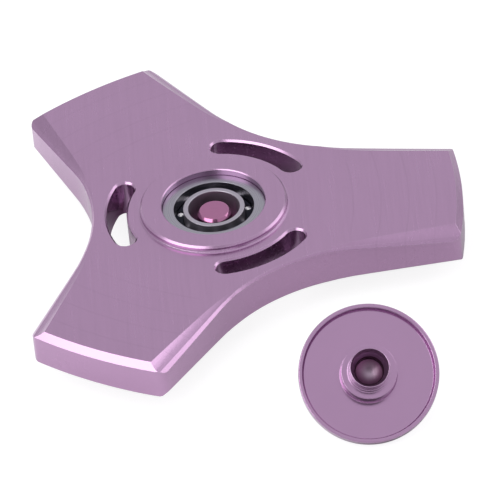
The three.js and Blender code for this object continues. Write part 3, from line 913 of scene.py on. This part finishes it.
class SPINNER_OT_buttons(bpy.types.Operator):
    """Turn the two finger buttons"""
    bl_idname = "spinner.buttons"
    bl_label = "Finger buttons"

    def execute(self, context):
        finish = context.scene.spinner_finish
        turned = context.scene.spinner_turned
        bearing = context.scene.spinner_bearing
        button = context.scene.spinner_button
        collar_top = MIDDLE_HEIGHT - bearing.width / 2
        pad = Vector(LOOSE_PAD["pos_m"])
        axis = -Vector(LOOSE_PAD["axis"])
        shared = dict(wear=0.4, radius=finish.edge_radius, coat=OXIDE_COAT, Contrast=0.1, Rings=9000.0)
        # The seated button's material carries painted shade in its darker, redder colour.
        seated = metal_material(
            "lower_button_anodised_shaded", finish.stud_shaded_colour, finish.button_roughness, "turned",
            bare=STUD_BARE, **shared)
        # The loose button's material carries painted light in its colour and painted shade in its bore.
        loose = metal_material(
            "upper_button_anodised_light_and_shade", finish.button_lit_colour, finish.button_roughness, "turned",
            bare=PINK_BARE, centre=pad, axis=axis, bore=LOOSE_BORE, **shared)
        for name, stem, material, body, place, turn in (
                ("lower_button", seated_stem, seated, "axle", Vector(), Vector()),
                ("upper_button", loose_stem, loose, "loose_button", pad, Vector(turn_onto(axis)))):
            tree, keys = turned_tree(material)
            section = dish_section(button, collar_top) + stem(button, bearing, collar_top)
            made = grown(name + "_turned", tree, {
                keys["Segments"]: turned.segments, keys["Corner Radius"]: turned.corner,
                keys["Place"]: place, keys["Turn"]: turn}, half_section(section, False))
            stand_in(made, name, body)
        return {"FINISHED"}


class SPINNER_OT_stage(bpy.types.Operator):
    """Set the floor, the soft lights and the camera"""
    bl_idname = "spinner.stage"
    bl_label = "Floor, lights and camera"

    def execute(self, context):
        stage = context.scene.spinner_stage
        make_floor()
        make_tent(context.scene, stage.tent, stage.gap)
        soft_light("key_light", *KEY_LIGHT, stage.key_strength)
        soft_light("side_light", *SIDE_LIGHT, stage.side_strength)
        make_camera(context.scene)
        context.scene.view_settings.view_transform = "Standard"
        return {"FINISHED"}


def paper_painted_light(tree):
    """Painted light: the paper's colour is a little paler on the left, where the key light falls."""
    place = node(tree, "ShaderNodeTexCoord")
    # Painted light: a left-to-right fade in the paper's colour stands in for the key light's falloff.
    tone = node(tree, "ShaderNodeMapRange", interpolation_type="SMOOTHSTEP")
    tone.inputs["From Min"].default_value = -PAPER_FADE
    tone.inputs["From Max"].default_value = PAPER_FADE
    tone.inputs["To Min"].default_value, tone.inputs["To Max"].default_value = PAPER_LIGHT_FALLOFF
    link(tree, split_axes(tree, place.outputs["Object"])[0], tone.inputs["Value"])
    grey = node(tree, "ShaderNodeCombineColor")
    for socket in grey.inputs:
        link(tree, tone.outputs[0], socket)
    return grey.outputs[0]


def make_floor():
    """A sheet of paper that looks nearly white and throws back a softer light onto the metal."""
    mesh = bpy.data.meshes.new("floor")
    far = FLOOR_HALF_SIZE
    corners = [(-far, -far, 0), (far, -far, 0), (far, far, 0), (-far, far, 0)]
    mesh.from_pydata(corners, [], [(0, 1, 2, 3)])
    floor = bpy.data.objects.new("floor", mesh)
    bpy.context.collection.objects.link(floor)
    material = bpy.data.materials.new("floor_paper")
    material.use_nodes = True
    tree = material.node_tree
    tree.nodes.clear()
    out = node(tree, "ShaderNodeOutputMaterial")
    path = node(tree, "ShaderNodeLightPath")
    glow = node(tree, "ShaderNodeEmission")
    glow.inputs["Strength"].default_value = PAPER_GLOW
    paper = node(tree, "ShaderNodeBsdfDiffuse")
    paper.inputs["Color"].default_value = solid_colour([PAPER_SHADE] * 3)
    seen = node(tree, "ShaderNodeAddShader")
    link(tree, glow.outputs[0], seen.inputs[0])
    link(tree, paper.outputs[0], seen.inputs[1])
    plain = node(tree, "ShaderNodeBsdfDiffuse")
    link(tree, paper_painted_light(tree), plain.inputs["Color"])
    mix = node(tree, "ShaderNodeMixShader")
    link(tree, path.outputs["Is Camera Ray"], mix.inputs[0])
    link(tree, plain.outputs[0], mix.inputs[1])
    link(tree, seen.outputs[0], mix.inputs[2])
    link(tree, mix.outputs[0], out.inputs[0])
    mesh.materials.append(material)


def make_tent(scene, tent, gap):
    """White cloth all round, darker at its front opening and changed in the places of TENT_PATCHES."""
    world = bpy.data.worlds.new("tent")
    scene.world = world
    world.use_nodes = True
    tree = world.node_tree
    back = tree.nodes["Background"]
    back.inputs["Color"].default_value = solid_colour(TENT_COLOUR)
    place = node(tree, "ShaderNodeTexCoord")
    strength = tent
    for toward, core, edge, level in ((*FRONT_OPENING, gap), *TENT_PATCHES):
        near = node(tree, "ShaderNodeVectorMath", operation="DOT_PRODUCT")
        near.inputs[1].default_value = Vector(toward).normalized()
        link(tree, place.outputs["Generated"], near.inputs[0])
        fade = node(tree, "ShaderNodeMapRange", interpolation_type="SMOOTHSTEP")
        fade.inputs["From Min"].default_value = math.cos(math.radians(edge))
        fade.inputs["From Max"].default_value = math.cos(math.radians(core))
        fade.inputs["To Max"].default_value = level
        link(tree, near.outputs["Value"], fade.inputs["Value"])
        feed(tree, strength, fade.inputs["To Min"])
        strength = fade.outputs[0]
    link(tree, strength, back.inputs["Strength"])


def soft_light(name, toward, half_angle, strength):
    """A round soft light in the given direction that fills the given angle as the object sees it."""
    place = Vector(toward).normalized() * LIGHT_DISTANCE
    radius = LIGHT_DISTANCE * math.tan(math.radians(half_angle))
    lamp = bpy.data.lights.new(name, "AREA")
    lamp.shape = "DISK"
    lamp.size = 2 * radius
    lamp.energy = strength * math.pi * math.pi * radius ** 2
    holder = bpy.data.objects.new(name, lamp)
    bpy.context.collection.objects.link(holder)
    holder.location = place
    holder.rotation_euler = (-place).to_track_quat("-Z", "Y").to_euler()


def make_camera(scene):
    """A long lens that looks down at the spinner from the front."""
    data = bpy.data.cameras.new("camera")
    data.lens = LENS_LENGTH
    data.sensor_width = SENSOR_WIDTH
    camera = bpy.data.objects.new("camera", data)
    scene.collection.objects.link(camera)
    right, up = Vector(CAMERA_RIGHT), Vector(CAMERA_UP)
    turn = Matrix((right, up, right.cross(up))).transposed().to_4x4()
    camera.matrix_world = Matrix.Translation(CAMERA_PLACE) @ turn
    scene.camera = camera


class SPINNER_PT_panel(bpy.types.Panel):
    """Lists the spinner's finishing steps"""
    bl_label = "Spinner"
    bl_idname = "SPINNER_PT_panel"
    bl_space_type = "VIEW_3D"
    bl_region_type = "UI"
    bl_category = "Spinner"

    def draw(self, context):
        for name in SETTINGS:
            group = getattr(context.scene, name)
            for field in group.__annotations__:
                self.layout.prop(group, field)
        for operator in OPERATORS:
            self.layout.operator(operator.bl_idname)


OPERATORS = (SPINNER_OT_plate, SPINNER_OT_races, SPINNER_OT_cage, SPINNER_OT_balls,
             SPINNER_OT_buttons, SPINNER_OT_stage)
SETTINGS = {
    "spinner_finish": FinishSettings, "spinner_turned": TurnedSettings,
    "spinner_bearing": BearingSettings, "spinner_button": ButtonSettings,
    "spinner_stage": StageSettings,
}
CLASSES = (*SETTINGS.values(), *OPERATORS, SPINNER_PT_panel)


def register():
    for item in CLASSES:
        bpy.utils.register_class(item)
    for name, group in SETTINGS.items():
        setattr(bpy.types.Scene, name, PointerProperty(type=group))


def unregister():
    for name in SETTINGS:
        delattr(bpy.types.Scene, name)
    for item in reversed(CLASSES):
        bpy.utils.unregister_class(item)


def main():
    register()
    bpy.ops.spinner.plate()
    bpy.ops.spinner.races()
    bpy.ops.spinner.cage()
    bpy.ops.spinner.balls()
    bpy.ops.spinner.buttons()
    bpy.ops.spinner.stage()


if __name__ == "__main__":
    main()
